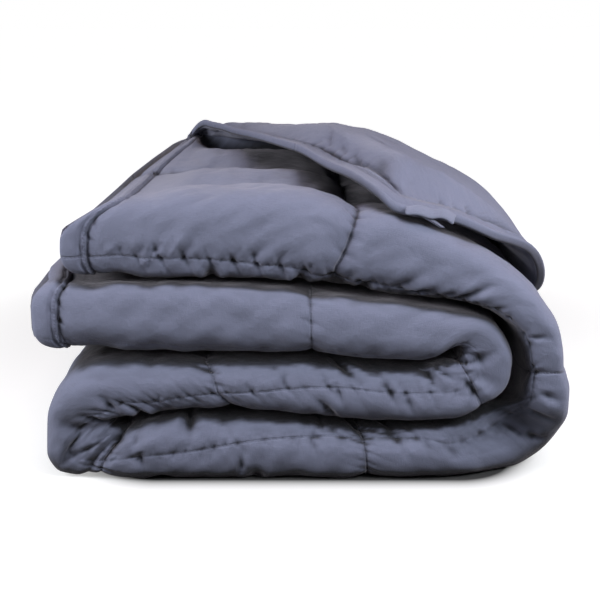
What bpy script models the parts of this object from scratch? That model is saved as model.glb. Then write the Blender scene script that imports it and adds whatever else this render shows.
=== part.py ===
"""A quilted weighted blanket, folded once across its width and twice along its length.

The fold across the width faces the front and both long hems lie at the back. That strip is
folded in half and in half again, which gives four double layers. The upper ply of the top
layer is turned back over itself, with a small fabric loop on its long hem. Metres, +Z up,
and the origin is on the surface below the middle of the folded blanket.
"""

import bmesh
import bpy
import numpy as np

MM = 0.001

# from the middle of the photo's front fold to the middle of the folded blanket
MID_X = 0.0198
MID_Y = 0.3005

# the cloth
DEPTH = 0.598          # from the front fold to the long hems at the back
HEM = 0.024            # width of the hem band
HEM_THICK = 0.008      # thickness of the hem band
TAPER = 0.055          # over this distance the filling thins out towards a hem
ROW = 0.192            # width of one row of quilt squares, from the front fold backwards
PLY_GAP = 0.0015       # between the two plies of a layer
NOSE = 0.022           # how far behind the front a fold reaches its full height
NOSE_OPEN = 0.042      # the same where nothing lies against it
NOSE_SQUARE = 0.58     # how square the front fold is (1 = round, smaller = squarer)
NOSE_PLY = 0.030       # thickness of the ply where it goes round the front fold
SEAM_DEEP = 0.006      # how deep a stitch line lies in the filling

# the turned-back flap
FLAP_GAP = 0.0030      # between the flap and the layer below it

# the loop on the long hem
LOOP_AT = 0.412        # where along the strip the loop's sewn end lies
LOOP_LONG = 0.034      # from its sewn end to its tip
LOOP_OUT = 0.003       # its middle lies this far past the hem's edge
LOOP_WIDE = 0.014      # across both strands
LOOP_THICK = 0.0032    # two strands of folded fabric
LOOP_CLEAR = 0.0004    # between the loop and the hem

# One row for each place along the folded strip, from the hem of the top layer to the hem of
# the third layer. out and in are the two faces at the front fold, across (x) and up (z), in
# mm. back is how far the front fold lies behind the front there, in mm. seam is where the
# long stitch line runs on the front fold, from -1 (in) to 1 (out). stitch marks a cross
# stitch line.
STRIP = [
    # out_x, out_z, in_x, in_z, back, seam, stitch
    (-207, 265, -212, 199, 0, -0.70, 0),
    (-184, 270, -190, 196, 0, -0.72, 1),
    (-134, 272, -136, 194, 0, -0.74, 0),
    (-80, 273, -84, 193, 0, -0.76, 0),
    (-20, 272, -30, 192, 0, -0.76, 0),
    (22, 270, 10, 188.5, 0, -0.78, 0),
    (48, 267, 44, 182.5, 2, -0.80, 1),
    (86, 255, 78, 176.5, 2, -0.80, 0),
    (119, 240, 108, 173, 0, -0.80, 0),
    (154, 223, 138, 170, 0, -0.80, 0),
    (188, 201, 160, 166, 0, -0.82, 0),
    (211, 182, 177, 159, 0, -0.84, 0),
    (229, 160, 190, 148, 1, -0.85, 0),
    (242, 135, 199, 132, 3, -0.85, 0),
    (249, 109, 203.5, 110, 6, -0.85, 1),
    (252, 86, 205, 92, 10, -0.80, 0),
    (252, 62, 202, 79, 16, -0.72, 0),
    (246, 38, 192, 70, 30, -0.60, 0),
    (232, 12, 177, 65, 42, -0.45, 0),
    (203, 0, 160, 61, 36, -0.32, 0),
    (160, 0, 137, 57, 16, -0.26, 0),
    (108, 0, 106, 52.5, 4, -0.20, 0),
    (60, 0, 59, 54, 0, -0.12, 1),
    (0, 0, 0, 58.5, 0, -0.10, 0),
    (-60, 0, -60, 63.5, 0, 0.00, 0),
    (-108, 0, -98, 63.5, 0, 0.15, 0),
    (-150, 0, -136, 60, 0, 0.28, 0),
    (-188, 0, -158, 56, 6, 0.35, 1),
    (-220, 9, -170, 55, 20, 0.20, 0),
    (-234, 27, -174, 56, 22, -0.10, 0),
    (-237, 50, -176, 57.5, 14, -0.35, 0),
    (-230, 76, -173, 59.5, 8, -0.50, 0),
    (-214, 100, -165, 61.5, 4, -0.58, 0),
    (-192, 115, -153, 63.5, 2, -0.60, 0),
    (-155, 120, -134, 65, 0, -0.55, 0),
    (-108, 120, -98, 67, 0, -0.45, 0),
    (-76, 119.5, -74, 67, 0, -0.35, 1),
    (6, 119.5, 0, 62, 0, -0.25, 0),
    (45, 115.5, 45, 57.5, 0, -0.15, 0),
    (88, 112.5, 90, 55.5, 0, -0.08, 0),
    (118, 114.5, 124, 58, 1, 0.00, 0),
    (134, 118, 156, 64, 3, 0.00, 0),
    (141, 121.5, 175, 74, 4, 0.05, 1),
    (144, 124, 189, 88, 5, 0.15, 0),
    (145, 126.5, 194.5, 103, 5, 0.30, 0),
    (145, 129, 194.5, 119, 4, 0.45, 0),
    (144, 131, 189, 135, 3, 0.55, 0),
    (140, 131, 177, 149, 2, 0.65, 0),
    (132, 126.5, 160, 158.5, 1, 0.70, 0),
    (118, 118.5, 136, 164, 0, 0.75, 0),
    (88, 114.5, 106, 169.5, 0, 0.80, 0),
    (45, 117.5, 52, 175.5, 0, 0.80, 0),
    (6, 121.5, 4, 182.5, 0, 0.80, 1),
    (-40, 122, -55, 187.5, 1, 0.80, 0),
    (-90, 122, -98, 189, 2, 0.78, 0),
    (-134, 123, -134, 190, 2, 0.74, 0),
    (-172, 124, -174, 191, 2, 0.70, 0),
    (-214, 126, -214, 191, 2, 0.66, 1),
    (-231, 128, -231, 190, 4, 0.60, 0),
    (-240, 130, -240, 188, 6, 0.60, 0),
]

# The turned-back flap, at places along the strip. fold is how far back its fold line lies,
# hem_at and hem are where its long hem lies, along the strip and from the front. lift is how
# far the hem stands off the layer below, puff is the same for the flap's middle, and thick
# is how thick its filling is there. Metres.
FLAP = [
    # at, fold, hem_at, hem, lift, puff, thick
    (0.000, 0.566, 0.008, 0.546, 0.003, 0.000, 0.022),
    (0.045, 0.556, 0.038, 0.522, 0.009, 0.002, 0.032),
    (0.110, 0.532, 0.088, 0.464, 0.013, 0.001, 0.025),
    (0.185, 0.496, 0.143, 0.368, 0.013, 0.001, 0.025),
    (0.255, 0.455, 0.196, 0.250, 0.009, 0.007, 0.028),
    (0.315, 0.410, 0.244, 0.130, 0.004, 0.014, 0.031),
    (0.368, 0.370, 0.292, 0.024, 0.000, 0.018, 0.031),
    (0.405, 0.344, 0.334, 0.015, 0.000, 0.016, 0.029),
    (0.432, 0.336, 0.374, 0.050, 0.006, 0.010, 0.025),
    (0.452, 0.354, 0.410, 0.106, 0.010, 0.004, 0.021),
    (0.468, 0.390, 0.450, 0.195, 0.005, 0.002, 0.018),
    (0.480, 0.432, 0.482, 0.295, 0.003, 0.001, 0.016),
    (0.491, 0.480, 0.504, 0.400, 0.001, 0.000, 0.014),
    (0.502, 0.535, 0.515, 0.510, 0.001, 0.000, 0.012),
]


def hermite(xs, ys, x):
    """A smooth line through the rows that doesn't overshoot them."""
    xs, ys, x = (np.asarray(v, float) for v in (xs, ys, x))
    step = np.diff(xs)
    slope = np.diff(ys) / step
    tangent = np.concatenate([slope[:1], (slope[1:] + slope[:-1]) / 2, slope[-1:]])
    turns = slope[1:] * slope[:-1] <= 0
    tangent[1:-1][turns] = 0
    limit = 3 * np.minimum(np.abs(slope[1:]), np.abs(slope[:-1]))
    tangent[1:-1] = np.clip(tangent[1:-1], -limit, limit)
    i = np.clip(np.searchsorted(xs, x, side="right") - 1, 0, len(xs) - 2)
    t = np.clip((x - xs[i]) / step[i], 0, 1)
    h = step[i]
    return (
        (2 * t**3 - 3 * t**2 + 1) * ys[i]
        + (t**3 - 2 * t**2 + t) * h * tangent[i]
        + (3 * t**2 - 2 * t**3) * ys[i + 1]
        + (t**3 - t**2) * h * tangent[i + 1]
    )


def ease(x):
    """0 below 0, 1 above 1 and an even S between."""
    x = np.clip(x, 0, 1)
    return x * x * (3 - 2 * x)


# How freely the front fold rounds off on its outer face, at places along the strip.
OPEN_OUT = [(0, 1), (0.55, 1), (0.64, 0.2), (0.90, 0.2), (0.95, 0.7), (1.03, 0.7), (1.1, 0)]

# Where the outline is taken on the faces behind the front fold, from the hem forwards.
BACK = (DEPTH - 0.003, DEPTH - HEM, DEPTH - HEM - 0.026, DEPTH - HEM - 0.055, 0.40, 0.22)

strip = np.array(STRIP, float)
middle = (strip[:, 0:2] + strip[:, 2:4]) / 2 * MM
AT = np.concatenate([[0], np.cumsum(np.linalg.norm(np.diff(middle, axis=0), axis=1))])
LONG = AT[-1]
STITCH_AT = AT[strip[:, 6] == 1]
flap = np.array(FLAP, float)
FLAP_END = flap[-1, 0]


def faces_at(s):
    """The middle of the strip, the way from its inner to its outer face, and half its height."""
    out = np.stack([hermite(AT, strip[:, k] * MM, s) for k in (0, 1)], -1)
    inn = np.stack([hermite(AT, strip[:, k] * MM, s) for k in (2, 3)], -1)
    half = np.linalg.norm(out - inn, axis=-1) / 2
    return (out + inn) / 2, (out - inn) / (2 * half[..., None]), half


def hem_fill(edge):
    """How full the cloth is at this distance from a hem's edge, from 0 to 1."""
    return ease((edge - HEM) / TAPER)


def cross_stitch(s):
    """How near a cross stitch line is, from 0 to 1."""
    near = np.min(np.abs(np.asarray(s)[..., None] - STITCH_AT), axis=-1)
    return np.exp(-((near / 0.011) ** 2))


def top_drop(s, y):
    """How far the upper face of the top layer lies below its front crest."""
    inside = STITCH_AT[1:-1]
    near = np.min(np.abs(np.asarray(s)[..., None] - inside), axis=-1)
    inner = ease((s - 0.01) / 0.10) * (1 - ease((s - 0.33) / 0.12))
    valley = np.sin(np.pi * np.clip((y - 0.045) / ROW, 0, None)) ** 2
    back = ease((y - 0.045) / 0.15)
    deep = 0.010 * back + 0.016 * valley
    return inner * deep + 0.008 * (1 - ease(near / 0.06)) * ease(y / 0.05)


def outer_n(s, y, half):
    """The outer face's distance from the middle of the strip, behind the front fold."""
    on_top = 1 - ease((s - 0.40) / 0.22)
    on_side = ease((s - 0.30) / 0.1) * (1 - ease((s - 0.60) / 0.1))
    drop = top_drop(s, y) * on_top + 0.008 * cross_stitch(s) * on_side * (1 - on_top)
    return half - drop


def place(s, y, n):
    """A point of the strip as x, y, z."""
    centre, way, half = faces_at(s)
    back = hermite(AT, strip[:, 4] * MM, s) * (1 - ease(y / 0.22))
    share = np.clip(n / half, -1, 1)
    near = 1 - ease(s / 0.22)
    slant = (0.036 * share.clip(0) ** 3.2 + 0.020 * (y / DEPTH) * ease(share + 0.3)) * near
    bow = 0.010 * share**4 * (1 - ease(np.minimum(s, LONG - s) / 0.07))
    bow = bow * (1 - ease((y - 0.03) / 0.05)) * (1 - near * (share > 0))
    at = centre + n[..., None] * way
    x = at[..., 0] + slant + bow
    return np.stack([x - MID_X, y + back - MID_Y, np.maximum(at[..., 1], 0)], -1)


def layer_faces(s, y, side):
    """A ply's outer and inner distance from the strip's middle, on the side 1 or -1."""
    half = float(faces_at(np.array(s))[2])
    end = float(hem_fill(min(s, LONG - s)))
    outer = half if side < 0 else float(outer_n(np.array(s), np.array(y), np.array(half)))
    inner = PLY_GAP / 2
    fill = float(hem_fill(DEPTH - y)) * end
    # the lowest ply's hem lies on the surface below, and at the ends of the strip a hem keeps
    # its layer's height at the front fold; the top layer keeps it all the way back
    under = float(ease((s - 0.60) / 0.05) * (1 - ease((s - 1.02) / 0.05))) * (side > 0)
    on_top = float(1 - ease((s - 0.2) / 0.1)) * (side > 0)
    high = max(1 - float(ease((y - 0.10) / 0.25)), on_top) * (1 - end)
    flat = max(under, high)
    mid = (outer + inner) / 2 * (1 - flat) + (outer - HEM_THICK / 2) * flat
    outer = outer * fill + (mid + HEM_THICK / 2) * (1 - fill)
    inner = inner * fill + (mid - HEM_THICK / 2) * (1 - fill)
    return outer, inner


def front_fold(s):
    """Points round the front fold, from the inner-facing ply to the outer-facing one."""
    end = float(hem_fill(min(s, LONG - s)))
    seam = float(hermite(AT, strip[:, 5], s))
    stitch = float(cross_stitch(np.array(s)))
    open_out = float(np.interp(s, *np.transpose(OPEN_OUT)))
    reach_out = NOSE + (NOSE_OPEN - NOSE) * open_out
    low = np.arcsin(np.clip(abs(seam), 0, 0.95) ** (1 / NOSE_SQUARE)) * np.sign(seam)
    below = np.linspace(-np.pi / 2, low - 0.20, 7)
    above = np.linspace(low + 0.20, np.pi / 2, 7)
    turn = np.concatenate([below, [low - 0.09, low, low + 0.09], above])
    deep = np.exp(-(((turn - low) / 0.17) ** 2)) * SEAM_DEEP * (0.4 + 0.6 * end)
    cut = np.sqrt(np.cos(turn).clip(0)) * 0.006 * stitch * end
    pulled = deep + cut + 0.003 * (1 - end)
    reach = np.where(turn < 0, NOSE, reach_out)
    tall_in = layer_faces(s, NOSE, -1)[0]
    tall_out = layer_faces(s, reach_out, 1)[0]
    tall = np.where(turn < 0, tall_in, tall_out)
    y = reach * (1 - np.cos(turn).clip(0) ** NOSE_SQUARE)
    n = tall * np.sign(np.sin(turn)) * np.abs(np.sin(turn)) ** NOSE_SQUARE
    y = y + pulled * np.cos(turn)
    n = n - pulled * np.sin(turn) * 0.8
    return [(s, a, b) for a, b in zip(y, n)]


def flap_row(s):
    """The flap's fold and hem for one place along the strip."""
    return [float(hermite(flap[:, 0], flap[:, k], s)) for k in range(1, 7)]


def flap_at(s, share):
    """A place on the flap, from its fold (0) to its hem (1), and its lower and upper face."""
    fold, hem_at, hem, lift, puff, filled = flap_row(s)
    at = s + (hem_at - s) * share
    y = fold + (hem - fold) * share
    to_hem = np.hypot(fold - hem, hem_at - s) * max(1 - share, 0) + 0.001
    thick = HEM_THICK + (filled - HEM_THICK) * float(hem_fill(to_hem))
    top = layer_faces(max(at, 0.0), float(np.clip(y, NOSE_OPEN, 0.45)), 1)[0]
    # it spans the valleys between the rows of the layer below
    inner = float(ease((at - 0.01) / 0.10) * (1 - ease((at - 0.33) / 0.12)))
    level = float(faces_at(np.array(at))[2]) - 0.010 * inner * float(ease((y - 0.045) / 0.15))
    top = top + (max(level, top) - top) * float(ease((at - 0.01) / 0.10))
    # and bends down over the front fold
    fore = (1 - min(max(y, 0.0) / NOSE_OPEN, 1)) ** (1 / NOSE_SQUARE)
    top = top * np.sqrt(1 - fore**2) ** NOSE_SQUARE
    rise = lift * share**2 + puff * np.sin(np.pi * min(share, 1) ** 0.8)
    low = top + FLAP_GAP + rise
    return at, y, low, low + thick


def ring(s):
    """The outline of the folded cloth across the strip, at the distance s along it."""
    end = float(hem_fill(min(s, LONG - s)))
    rows = []
    for y in BACK:
        rows.append((s, y, -layer_faces(s, y, -1)[0]))
    rows += front_fold(s)
    turned = s <= FLAP_END
    fold = flap_row(s)[0] if turned else float(flap[-1, 1])
    opened = 0.0 if turned else float(ease((s - FLAP_END) / 0.034))
    first = NOSE_OPEN + 0.02
    for share in (0.0, 0.3, 0.55, 0.8, 1.0):
        y = first + (fold - 0.006 - first) * share
        rows.append((s, y, layer_faces(s, y, 1)[0]))
    # the flap, turned back over the ply
    shares = (0.0, 0.12, 0.3, 0.5, 0.7, 0.88, 1.0)
    seat = min(s, FLAP_END)
    laid = [flap_at(seat, share) for share in shares]
    laid = [(at + s - seat, y, low, high) for at, y, low, high in laid]
    tip_at, tip_y = laid[-1][:2]
    way = np.array([tip_at - s, tip_y - fold])
    way = way / np.linalg.norm(way) * 0.003
    low = [(at, y, n) for at, y, n, _ in laid]
    high = [(at, y, n) for at, y, _, n in laid]
    tip = [(tip_at + way[0], tip_y + way[1], (low[-1][2] + high[-1][2]) / 2)]
    ply_in = layer_faces(s, fold, 1)[1]
    top_n = high[0][2]
    round_n = (top_n - ply_in) / 2
    bend = []
    for a in np.linspace(np.pi / 2, -np.pi / 2, 7)[1:-1]:
        y = fold + 0.004 + round_n * 0.8 * np.cos(a)
        bend.append((s, y, (top_n + ply_in) / 2 + round_n * np.sin(a)))
    folded = low + tip + high[::-1] + bend
    if turned:
        rows += folded
    else:
        # past the flap the rest of the ply swings down to lie flat to its hem again
        turn = np.pi * (1 - opened)
        base_out, base_in = layer_faces(s, fold, 1)
        wide = 0.020 + (DEPTH - fold - 0.020) * opened**2
        ahead = 0.012 * (1 - opened)
        under, over = [], []
        for share in shares:
            y, n = fold + wide * share * np.cos(turn), base_out + wide * share * np.sin(turn)
            out, inn = layer_faces(s, fold + wide * share, 1)
            n = n + (out - base_out) * max(np.cos(turn), 0)
            under.append((s + ahead * share, y, n))
            thick = out - inn
            y, n = y + thick * np.sin(turn), n - thick * np.cos(turn)
            over.append((s + ahead * share, y, n))
        edge = [(a + b) / 2 for a, b in zip(under[-1], over[-1])]
        edge[1] += 0.003 * np.cos(turn)
        edge[2] += 0.003 * np.sin(turn)
        rows += under + [tuple(edge)] + over[::-1]
        thick = base_out - base_in
        for k, a in enumerate(np.linspace(turn, 0, 7)[1:-1]):
            y = fold - 0.002 * (k + 1) + thick * np.sin(a)
            rows.append((s, y, base_out - thick * np.cos(a)))
    # the inner faces, forward to the front fold and back to the other hem
    for share in (0.15, 0.45, 0.75):
        y = fold + (0.09 - fold) * share
        rows.append((s, y, layer_faces(s, y, 1)[1]))
    near = NOSE_PLY * (1 - 0.7 * (1 - end))
    mouth = {side: layer_faces(s, 0.075, side)[1] for side in (1, -1)}
    for a in (90, 50, 15, -15, -50, -90):
        wide, deep = abs(np.sin(np.radians(a))), np.cos(np.radians(a))
        side = 1 if a > 0 else -1
        open_out = float(np.interp(s, *np.transpose(OPEN_OUT))) * (side > 0)
        reach = NOSE + (NOSE_OPEN - NOSE) * open_out
        y = near + reach * (1 - max(deep, 0) ** NOSE_SQUARE)
        rows.append((s, y, side * mouth[side] * wide**NOSE_SQUARE))
    for y in BACK[::-1]:
        rows.append((s, y, -layer_faces(s, y, -1)[1]))
    rows.append((s, DEPTH, -sum(layer_faces(s, DEPTH, -1)) / 2))
    return place(*np.transpose(rows))


def stations():
    """Where the outline is taken along the strip: at each row and beside each stitch line."""
    beside = [at + step for at in STITCH_AT[1:-1] for step in (-0.018, -0.007, 0.007, 0.018)]
    release = [FLAP_END + step for step in (0, 0.009, 0.017, 0.025, 0.034)]
    places = sorted([0.009, 0.045] + list(AT) + beside + release + [LONG - 0.005])
    kept = [places[0]]
    for at in places[1:]:
        if at - kept[-1] > 0.004:
            kept.append(at)
    kept[-1] = LONG
    return kept


def close_end(bm, outline):
    """Closes the strip's end between the outer line and the inner line of its outline."""
    outer_count = len(BACK) + 17 + 5 + 7
    tip = outline[-1]
    one = [tip] + outline[:outer_count] + [outline[outer_count]]
    two = [tip] + outline[-2:outer_count:-1] + [outline[outer_count]]
    i = j = 0
    while i < len(one) - 1 or j < len(two) - 1:
        step_one = step_two = float("inf")
        if i < len(one) - 1:
            step_one = (one[i + 1].co - two[j].co).length
        if j < len(two) - 1:
            step_two = (one[i].co - two[j + 1].co).length
        if step_one <= step_two:
            corners = (one[i], one[i + 1], two[j])
            i += 1
        else:
            corners = (one[i], two[j + 1], two[j])
            j += 1
        if len(set(corners)) == 3:
            bm.faces.new(corners)


def material(name, colour, rough):
    made = bpy.data.materials.new(name)
    made.use_nodes = True
    shader = made.node_tree.nodes["Principled BSDF"]
    shader.inputs["Base Color"].default_value = (*colour, 1)
    shader.inputs["Roughness"].default_value = rough
    return made


def finish(bm, name, made):
    bmesh.ops.recalc_face_normals(bm, faces=bm.faces)
    mesh = bpy.data.meshes.new(name)
    bm.to_mesh(mesh)
    bm.free()
    mesh.materials.append(made)
    for polygon in mesh.polygons:
        polygon.use_smooth = True
    made_object = bpy.data.objects.new(name, mesh)
    bpy.context.scene.collection.objects.link(made_object)
    return made_object


def build_blanket():
    bm = bmesh.new()
    rings = []
    for s in stations():
        rings.append([bm.verts.new(p) for p in ring(s)])
    count = len(rings[0])
    for a, b in zip(rings[:-1], rings[1:]):
        for k in range(count):
            m = (k + 1) % count
            bm.faces.new((a[k], a[m], b[m], b[k]))
    close_end(bm, rings[0])
    close_end(bm, rings[-1])
    return finish(bm, "blanket", material("slate_cotton", (0.16, 0.17, 0.24), 0.9))


def hem_top(s, beyond):
    """A place near the flap's hem, this far past the hem's edge, on its upper face."""
    fold, hem_at, hem, _, _, _ = flap_row(s)
    span = np.hypot(fold - hem, hem_at - s)
    at, y, low, high = flap_at(s, 1.0)
    reach = np.array([hem_at - s, hem - fold]) / span * beyond
    inside = flap_at(s, 1 + min(beyond, 0) / span)
    n = inside[3] if beyond < 0 else high - beyond * 0.35
    return at + reach[0], y + reach[1], n


def build_loop():
    """A flat closed loop that lies along the hem with its far strand over the hem's edge."""
    long_steps, wide_steps = 10, 5
    bm = bmesh.new()
    layers = []
    for height in (LOOP_CLEAR, LOOP_CLEAR + LOOP_THICK):
        grid = []
        for i in range(long_steps + 1):
            along = i / long_steps
            narrow = np.sqrt(max(1 - max((along - 0.80) / 0.20, 0) ** 2 * 0.75, 0))
            row = []
            for j in range(wide_steps + 1):
                across = (j / wide_steps - 0.5) * LOOP_WIDE * narrow
                at, y, n = hem_top(LOOP_AT - along * LOOP_LONG, across + LOOP_OUT)
                row.append((at, y, n + height))
            grid.append(row)
        flat = np.array([p for row in grid for p in row])
        places = place(flat[:, 0], flat[:, 1], flat[:, 2])
        layers.append([bm.verts.new(p) for p in places])
    wide = wide_steps + 1
    low, high = layers
    for i in range(long_steps):
        for j in range(wide_steps):
            a, b, c, d = i * wide + j, i * wide + j + 1, (i + 1) * wide + j + 1, (i + 1) * wide + j
            bm.faces.new((low[a], low[b], low[c], low[d]))
            bm.faces.new((high[d], high[c], high[b], high[a]))
    rim = [j for j in range(wide)]
    rim += [i * wide + wide_steps for i in range(1, long_steps + 1)]
    rim += [long_steps * wide + j for j in range(wide_steps - 1, -1, -1)]
    rim += [i * wide for i in range(long_steps - 1, 0, -1)]
    for a, b in zip(rim, rim[1:] + rim[:1]):
        bm.faces.new((low[b], low[a], high[a], high[b]))
    return finish(bm, "tie_loop", material("slate_tape", (0.15, 0.16, 0.23), 0.85))


def main():
    for old in list(bpy.data.objects):
        bpy.data.objects.remove(old, do_unlink=True)
    build_blanket()
    build_loop()


main()
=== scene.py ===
"""A quilted weighted blanket in slate cotton, folded up and lying on a pale floor."""

import bmesh
import bpy
import numpy as np
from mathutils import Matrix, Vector
from mathutils.bvhtree import BVHTree


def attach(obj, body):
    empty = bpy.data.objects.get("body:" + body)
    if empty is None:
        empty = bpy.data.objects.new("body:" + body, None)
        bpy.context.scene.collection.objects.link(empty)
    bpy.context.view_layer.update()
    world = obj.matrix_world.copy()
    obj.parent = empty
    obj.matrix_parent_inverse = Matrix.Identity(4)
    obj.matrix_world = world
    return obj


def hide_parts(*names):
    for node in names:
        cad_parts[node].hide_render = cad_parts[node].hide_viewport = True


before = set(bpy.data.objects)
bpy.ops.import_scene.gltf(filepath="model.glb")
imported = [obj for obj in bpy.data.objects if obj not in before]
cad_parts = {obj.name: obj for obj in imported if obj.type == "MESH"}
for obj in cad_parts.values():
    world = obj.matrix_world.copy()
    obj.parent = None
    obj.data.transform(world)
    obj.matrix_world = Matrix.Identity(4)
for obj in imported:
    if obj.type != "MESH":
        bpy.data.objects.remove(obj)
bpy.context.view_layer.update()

# ------------------------------------------------------------------ the folded strip
# The blanket is one piece of filled cotton. It is folded once across its width, with that fold
# at the front, and the strip that this gives is folded in half and in half again.
MM = 0.001
# the middle of the folded stack, from the origin of the rows below
MIDDLE = (0.0198, 0.3005)
DEPTH = 0.598
HEM_WIDE = 0.024
HEM_THICK = 0.008
TAPER = 0.055
PLY_GAP = 0.0015
# A row is a place along the strip: where its outer and inner face lie at the front, across and
# up in mm, how far back the fold lies there, where the middle stitch line runs between the
# inner face (-1) and the outer one (1), and 1 where a line of stitches crosses the strip.
STRIP = np.array([
    # out_x, out_z, in_x, in_z, back, seam, stitch
    (-208, 259, -212, 199, 0, -0.46, 0),
    (-185, 270, -190, 196, 0, -0.48, 1),
    (-134, 272, -136, 194, 0, -0.50, 0),
    (-80, 273, -84, 193, 0, -0.52, 0),
    (-20, 272, -30, 192, 0, -0.64, 0),
    (22, 270, 10, 188.5, 0, -0.72, 0),
    (48, 267, 44, 182.5, 2, -0.92, 1),
    (86, 255, 78, 176.5, 2, -0.84, 0),
    (119, 240, 108, 173, 0, -0.92, 0),
    (154, 223, 138, 170, 0, -0.93, 0),
    (188, 201, 160, 166, 0, -0.90, 0),
    (211, 182, 177, 159, 0, -0.84, 0),
    (229, 160, 190, 148, 1, -0.85, 0),
    (242, 135, 199, 132, 3, -0.85, 0),
    (249, 109, 203.5, 110, 6, -0.85, 1),
    (252, 86, 205, 92, 10, -0.80, 0),
    (252, 62, 202, 79, 16, -0.72, 0),
    (246, 38, 192, 70, 30, -0.60, 0),
    (232, 12, 177, 65, 42, -0.45, 0),
    (203, 0, 160, 61, 36, -0.32, 0),
    (160, 0, 137, 57, 20, -0.26, 0),
    (108, 0, 106, 52.5, 13, -0.65, 0),
    (60, 0, 59, 54, 14, -0.62, 1),
    (0, 0, 0, 58.5, 14, -0.48, 0),
    (-60, 0, -60, 63.5, 14, -0.15, 0),
    (-108, 0, -98, 63.5, 13, 0.10, 0),
    (-150, 0, -136, 60, 10, 0.15, 0),
    (-188, 0, -158, 56, 12, 0.30, 1),
    (-228, 4, -170, 55, 17, 0.33, 0),
    (-240, 22, -174, 56, 17, -0.10, 0),
    (-237, 50, -176, 57.5, 14, -0.35, 0),
    (-230, 76, -173, 59.5, 8, -0.50, 0),
    (-214, 100, -165, 61.5, 5, -0.58, 0),
    (-192, 115, -153, 63.5, 5, -0.42, 0),
    (-155, 120, -134, 65, 9, -0.58, 0),
    (-108, 120, -98, 67, 9, -0.40, 0),
    (-76, 119.5, -74, 67, 9, -0.33, 1),
    (6, 119.5, 0, 62, 9, 0.05, 0),
    (45, 115.5, 45, 57.5, 9, 0.20, 0),
    (88, 112.5, 90, 55.5, 9, 0.12, 0),
    (118, 114.5, 124, 58, 6, 0.10, 0),
    (134, 118, 156, 64, 5, 0.00, 0),
    (141, 121.5, 175, 74, 4, 0.05, 1),
    (144, 124, 189, 88, 5, 0.15, 0),
    (145, 126.5, 194.5, 103, 5, 0.30, 0),
    (145, 129, 194.5, 119, 4, 0.45, 0),
    (144, 131, 189, 135, 3, 0.55, 0),
    (140, 131, 177, 149, 2, 0.65, 0),
    (132, 126.5, 160, 158.5, 1, 0.70, 0),
    (118, 118.5, 136, 164, 0, 0.75, 0),
    (88, 114.5, 106, 169.5, 0, 0.80, 0),
    (45, 117.5, 52, 175.5, 0, 0.80, 0),
    (6, 121.5, 4, 182.5, 0, 0.80, 1),
    (-40, 122, -55, 187.5, 1, 0.80, 0),
    (-90, 122, -98, 189, 2, 0.78, 0),
    (-134, 123, -134, 190, 2, 0.74, 0),
    (-172, 124, -174, 191, 2, 0.70, 0),
    (-214, 126, -214, 191, 2, 0.66, 1),
    (-231, 128, -231, 190, 4, 0.60, 0),
    (-240, 130, -240, 188, 6, 0.60, 0),
])


def through(xs, ys, x):
    """A smooth line through the rows that doesn't overshoot them."""
    step = np.diff(xs)
    slope = np.diff(ys) / step
    tangent = np.concatenate([slope[:1], (slope[1:] + slope[:-1]) / 2, slope[-1:]])
    tangent[1:-1][slope[1:] * slope[:-1] <= 0] = 0
    limit = 3 * np.minimum(np.abs(slope[1:]), np.abs(slope[:-1]))
    tangent[1:-1] = np.clip(tangent[1:-1], -limit, limit)
    i = np.clip(np.searchsorted(xs, x, side="right") - 1, 0, len(xs) - 2)
    t = np.clip((x - xs[i]) / step[i], 0, 1)
    lead = (2 * t**3 - 3 * t**2 + 1) * ys[i] + (t**3 - 2 * t**2 + t) * step[i] * tangent[i]
    return lead + (3 * t**2 - 2 * t**3) * ys[i + 1] + (t**3 - t**2) * step[i] * tangent[i + 1]


def ease(x):
    """0 below 0, 1 above 1 and an even S between."""
    x = np.clip(x, 0, 1)
    return x * x * (3 - 2 * x)


centre_line = (STRIP[:, 0:2] + STRIP[:, 2:4]) / 2 * MM
AT = np.concatenate([[0], np.cumsum(np.linalg.norm(np.diff(centre_line, axis=0), axis=1))])
LONG = AT[-1]
STITCH_AT = AT[STRIP[:, 6] == 1]


def faces_at(s):
    """The middle of the strip, the way from its inner to its outer face, and half its height."""
    out = np.stack([through(AT, STRIP[:, k] * MM, s) for k in (0, 1)], -1)
    inn = np.stack([through(AT, STRIP[:, k] * MM, s) for k in (2, 3)], -1)
    half = np.linalg.norm(out - inn, axis=-1) / 2
    return (out + inn) / 2, (out - inn) / (2 * half[..., None]), half


def fullness(edge):
    """How full the cloth is at this distance from a hem's edge, from 0 to 1."""
    return ease((edge - HEM_WIDE) / TAPER)


# how far the top layer's end leans in to the right, at its upper face, at the back and behind
# its front crest, and how far both ends are rounded off at their faces
LEAN_UP = 0.036
LEAN_BACK = 0.020
LEAN_BEHIND = 0.010
END_ROUND = 0.010
# how far back the fold's line still tells, and how far along the strip its end still leans
FRONT_REACH = 0.22
END_REACH = 0.22


def place(s, y, n):
    """A point of the strip, this far along, back and out from its middle, as x, y, z."""
    centre, way, half = faces_at(s)
    back = through(AT, STRIP[:, 4] * MM, s) * (1 - ease(y / FRONT_REACH))
    share = np.clip(n / half, -1, 1)
    upper_ply = ease(share + 0.3)
    near = 1 - ease(s / END_REACH)
    slant = (LEAN_UP * share.clip(0) ** 2.2 + LEAN_BACK * (y / DEPTH) * upper_ply) * near
    behind = ease(y / 0.10) * (1 - ease((y - 0.28) / 0.20))
    slant = slant + LEAN_BEHIND * upper_ply * (1 - ease(s / 0.12)) * behind
    bow = END_ROUND * share**4 * (1 - ease(np.minimum(s, LONG - s) / 0.07))
    bow = bow * (1 - ease((y - 0.03) / 0.05)) * (1 - near * (share > 0))
    at = centre + n[..., None] * way
    x = at[..., 0] + slant + bow
    return np.stack([x - MIDDLE[0], y + back - MIDDLE[1], np.maximum(at[..., 1], 0)], -1)


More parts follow.
